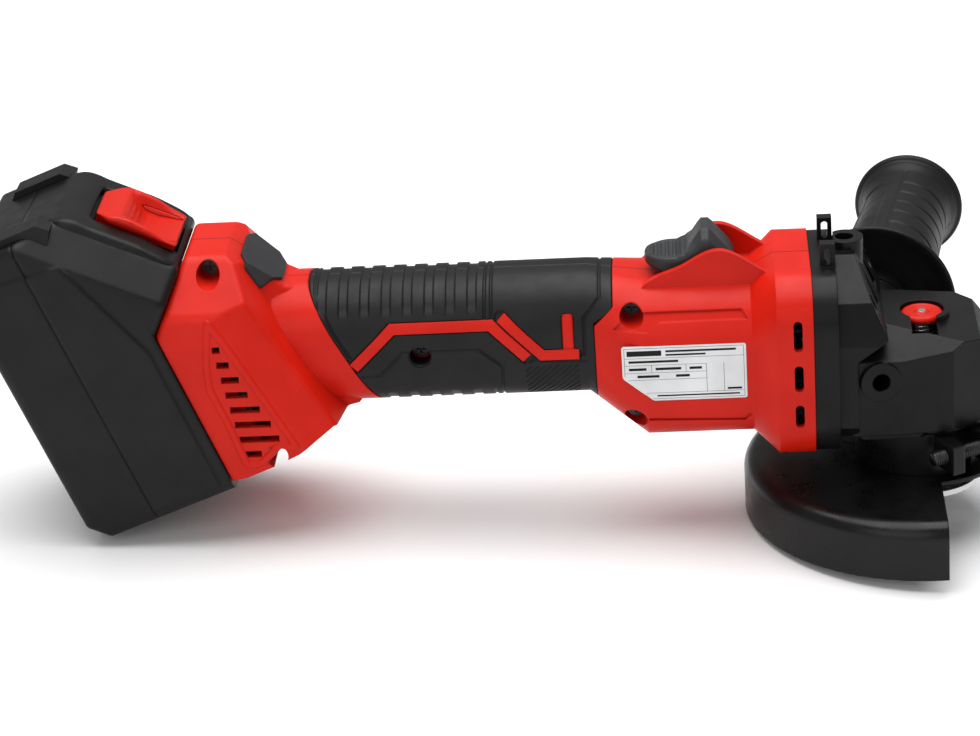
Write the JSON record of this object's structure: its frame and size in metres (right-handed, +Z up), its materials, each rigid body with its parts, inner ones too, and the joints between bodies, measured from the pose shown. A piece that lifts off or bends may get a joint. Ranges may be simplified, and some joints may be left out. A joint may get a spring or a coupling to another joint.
{
  "type": "angle grinder",
  "caption": "Cordless 125 mm angle grinder: red and black body, black gear head, guard, side handle and slide-on battery pack, with drive, switch, lock, guard, handle, pack and latch joints.",
  "frame": {"origin": "on the spindle axis, at the disc seat of the inner flange", "axes": "+X forward to the gear head's nose, +Y towards the fitted side handle, +Z up along the spindle to the lock button"},
  "size_m": [0.3792, 0.2163, 0.1415],
  "materials": {
    "red_plastic": "fine moulded texture, satin",
    "case_black": "semi-gloss black paint on die-cast aluminium",
    "dark_plastic": "matte",
    "black_rubber": "matte overmould",
    "grey_rubber": "matte",
    "slider_grey": "matte",
    "pack_plastic": "fine moulded texture",
    "guard_paint": "satin black powder coat on pressed steel",
    "screw_steel": "blackened",
    "bright_steel": "ground",
    "label_silver": "satin foil",
    "lamination": "stacked sheet",
    "copper_wire": "enamelled copper",
    "bronze": "sintered",
    "magnet": "nickel plated",
    "heat_sink": "extruded",
    "board_green": "solder mask",
    "cell_wrap": "shrink sleeve",
    "nickel": "plated strip"
  },
  "bodies": {
    "housing": {"gear_case": "case_black", "gear_case_cover": "case_black", "cover_screws": "screw_steel", "gear_case_screws": "screw_steel", "bearing_plate": "dark_plastic", "left_housing": "red_plastic", "right_housing": "red_plastic", "left_grip_cover": "black_rubber", "right_grip_cover": "black_rubber", "grip_inlays": "red_plastic", "housing_screws": "screw_steel", "rating_plate": "label_silver", "rear_pad": "grey_rubber", "stator_core": "lamination", "stator_windings": "copper_wire", "air_baffle": "dark_plastic", "front_motor_bearing": "bright_steel", "rear_motor_bearing": "bright_steel", "upper_spindle_bush": "bronze", "spindle_bearing_outer": "bright_steel", "spindle_bearing_balls": "bright_steel", "dust_seal": "grey_rubber", "switch_module": "dark_plastic", "terminal_block": "dark_plastic", "driver_board": "board_green", "driver_heat_sink": "heat_sink", "lock_spring": "bright_steel"},
    "rotor": {"rotor_shaft": "bright_steel", "rotor_core": "lamination", "rotor_magnets": "magnet", "cooling_fan": "dark_plastic", "drive_pinion": "screw_steel", "front_bearing_inner": "bright_steel", "rear_bearing_inner": "bright_steel"},
    "spindle_group": {"spindle": "bright_steel", "crown_gear": "screw_steel", "inner_flange": "bright_steel", "spindle_bearing_inner": "bright_steel"},
    "lock": {"lock_button": "red_plastic", "lock_plunger": "bright_steel"},
    "switch": {"switch_slider": "slider_grey", "switch_link": "dark_plastic"},
    "guard_group": {"guard": "guard_paint", "guard_band": "guard_paint", "clamp_screw": "screw_steel"},
    "side_handle": {"handle_stud": "bright_steel", "handle_core": "dark_plastic", "handle_grip": "black_rubber"},
    "battery_pack": {"pack_base_case": "pack_plastic", "pack_top_case": "pack_plastic", "battery_cells": "cell_wrap", "cell_straps": "nickel", "cell_holder": "dark_plastic", "pack_board": "board_green", "pack_terminals": "nickel", "pack_bumpers": "black_rubber", "latch_spring": "bright_steel"},
    "latch": {"latch_button": "red_plastic"}
  },
  "joints": [
    {"name": "spindle_spin", "type": "hinge", "parent": "housing", "child": "spindle_group", "pos_m": [0, 0, 0.03], "axis": [0, 0, 1], "continuous": true},
    {"name": "rotor_spin", "type": "hinge", "parent": "housing", "child": "rotor", "pos_m": [-0.08, 0, 0.057], "axis": [1, 0, 0], "continuous": true},
    {"name": "lock_press", "type": "slide", "parent": "housing", "child": "lock", "axis": [0, 0, -1], "range_m": [0, 0.003], "stiffness_N_per_m": 1500, "deforming": ["lock_spring"]},
    {"name": "switch_slide", "type": "slide", "parent": "housing", "child": "switch", "axis": [1, 0, 0], "range_m": [0, 0.008], "stiffness_N_per_m": 400},
    {"name": "guard_turn", "type": "hinge", "parent": "housing", "child": "guard_group", "pos_m": [0, 0, 0.02], "axis": [0, 0, 1], "range_deg": [-55, 100]},
    {"name": "side_handle_unscrew", "type": "slide", "parent": "housing", "child": "side_handle", "axis": [0.1908, 0.9816, 0], "range_m": [0, 0.016]},
    {"name": "pack_slide", "type": "slide", "parent": "housing", "child": "battery_pack", "axis": [-0.3584, 0, 0.9336], "range_m": [0, 0.058]},
    {"name": "latch_press", "type": "slide", "parent": "battery_pack", "child": "latch", "axis": [-0.4067, 0, -0.9135], "range_m": [0, 0.003], "stiffness_N_per_m": 1500}
  ],
  "couplings": [
    {"joint": "rotor_spin", "follows": "spindle_spin", "ratio": -3.4444}
  ]
}
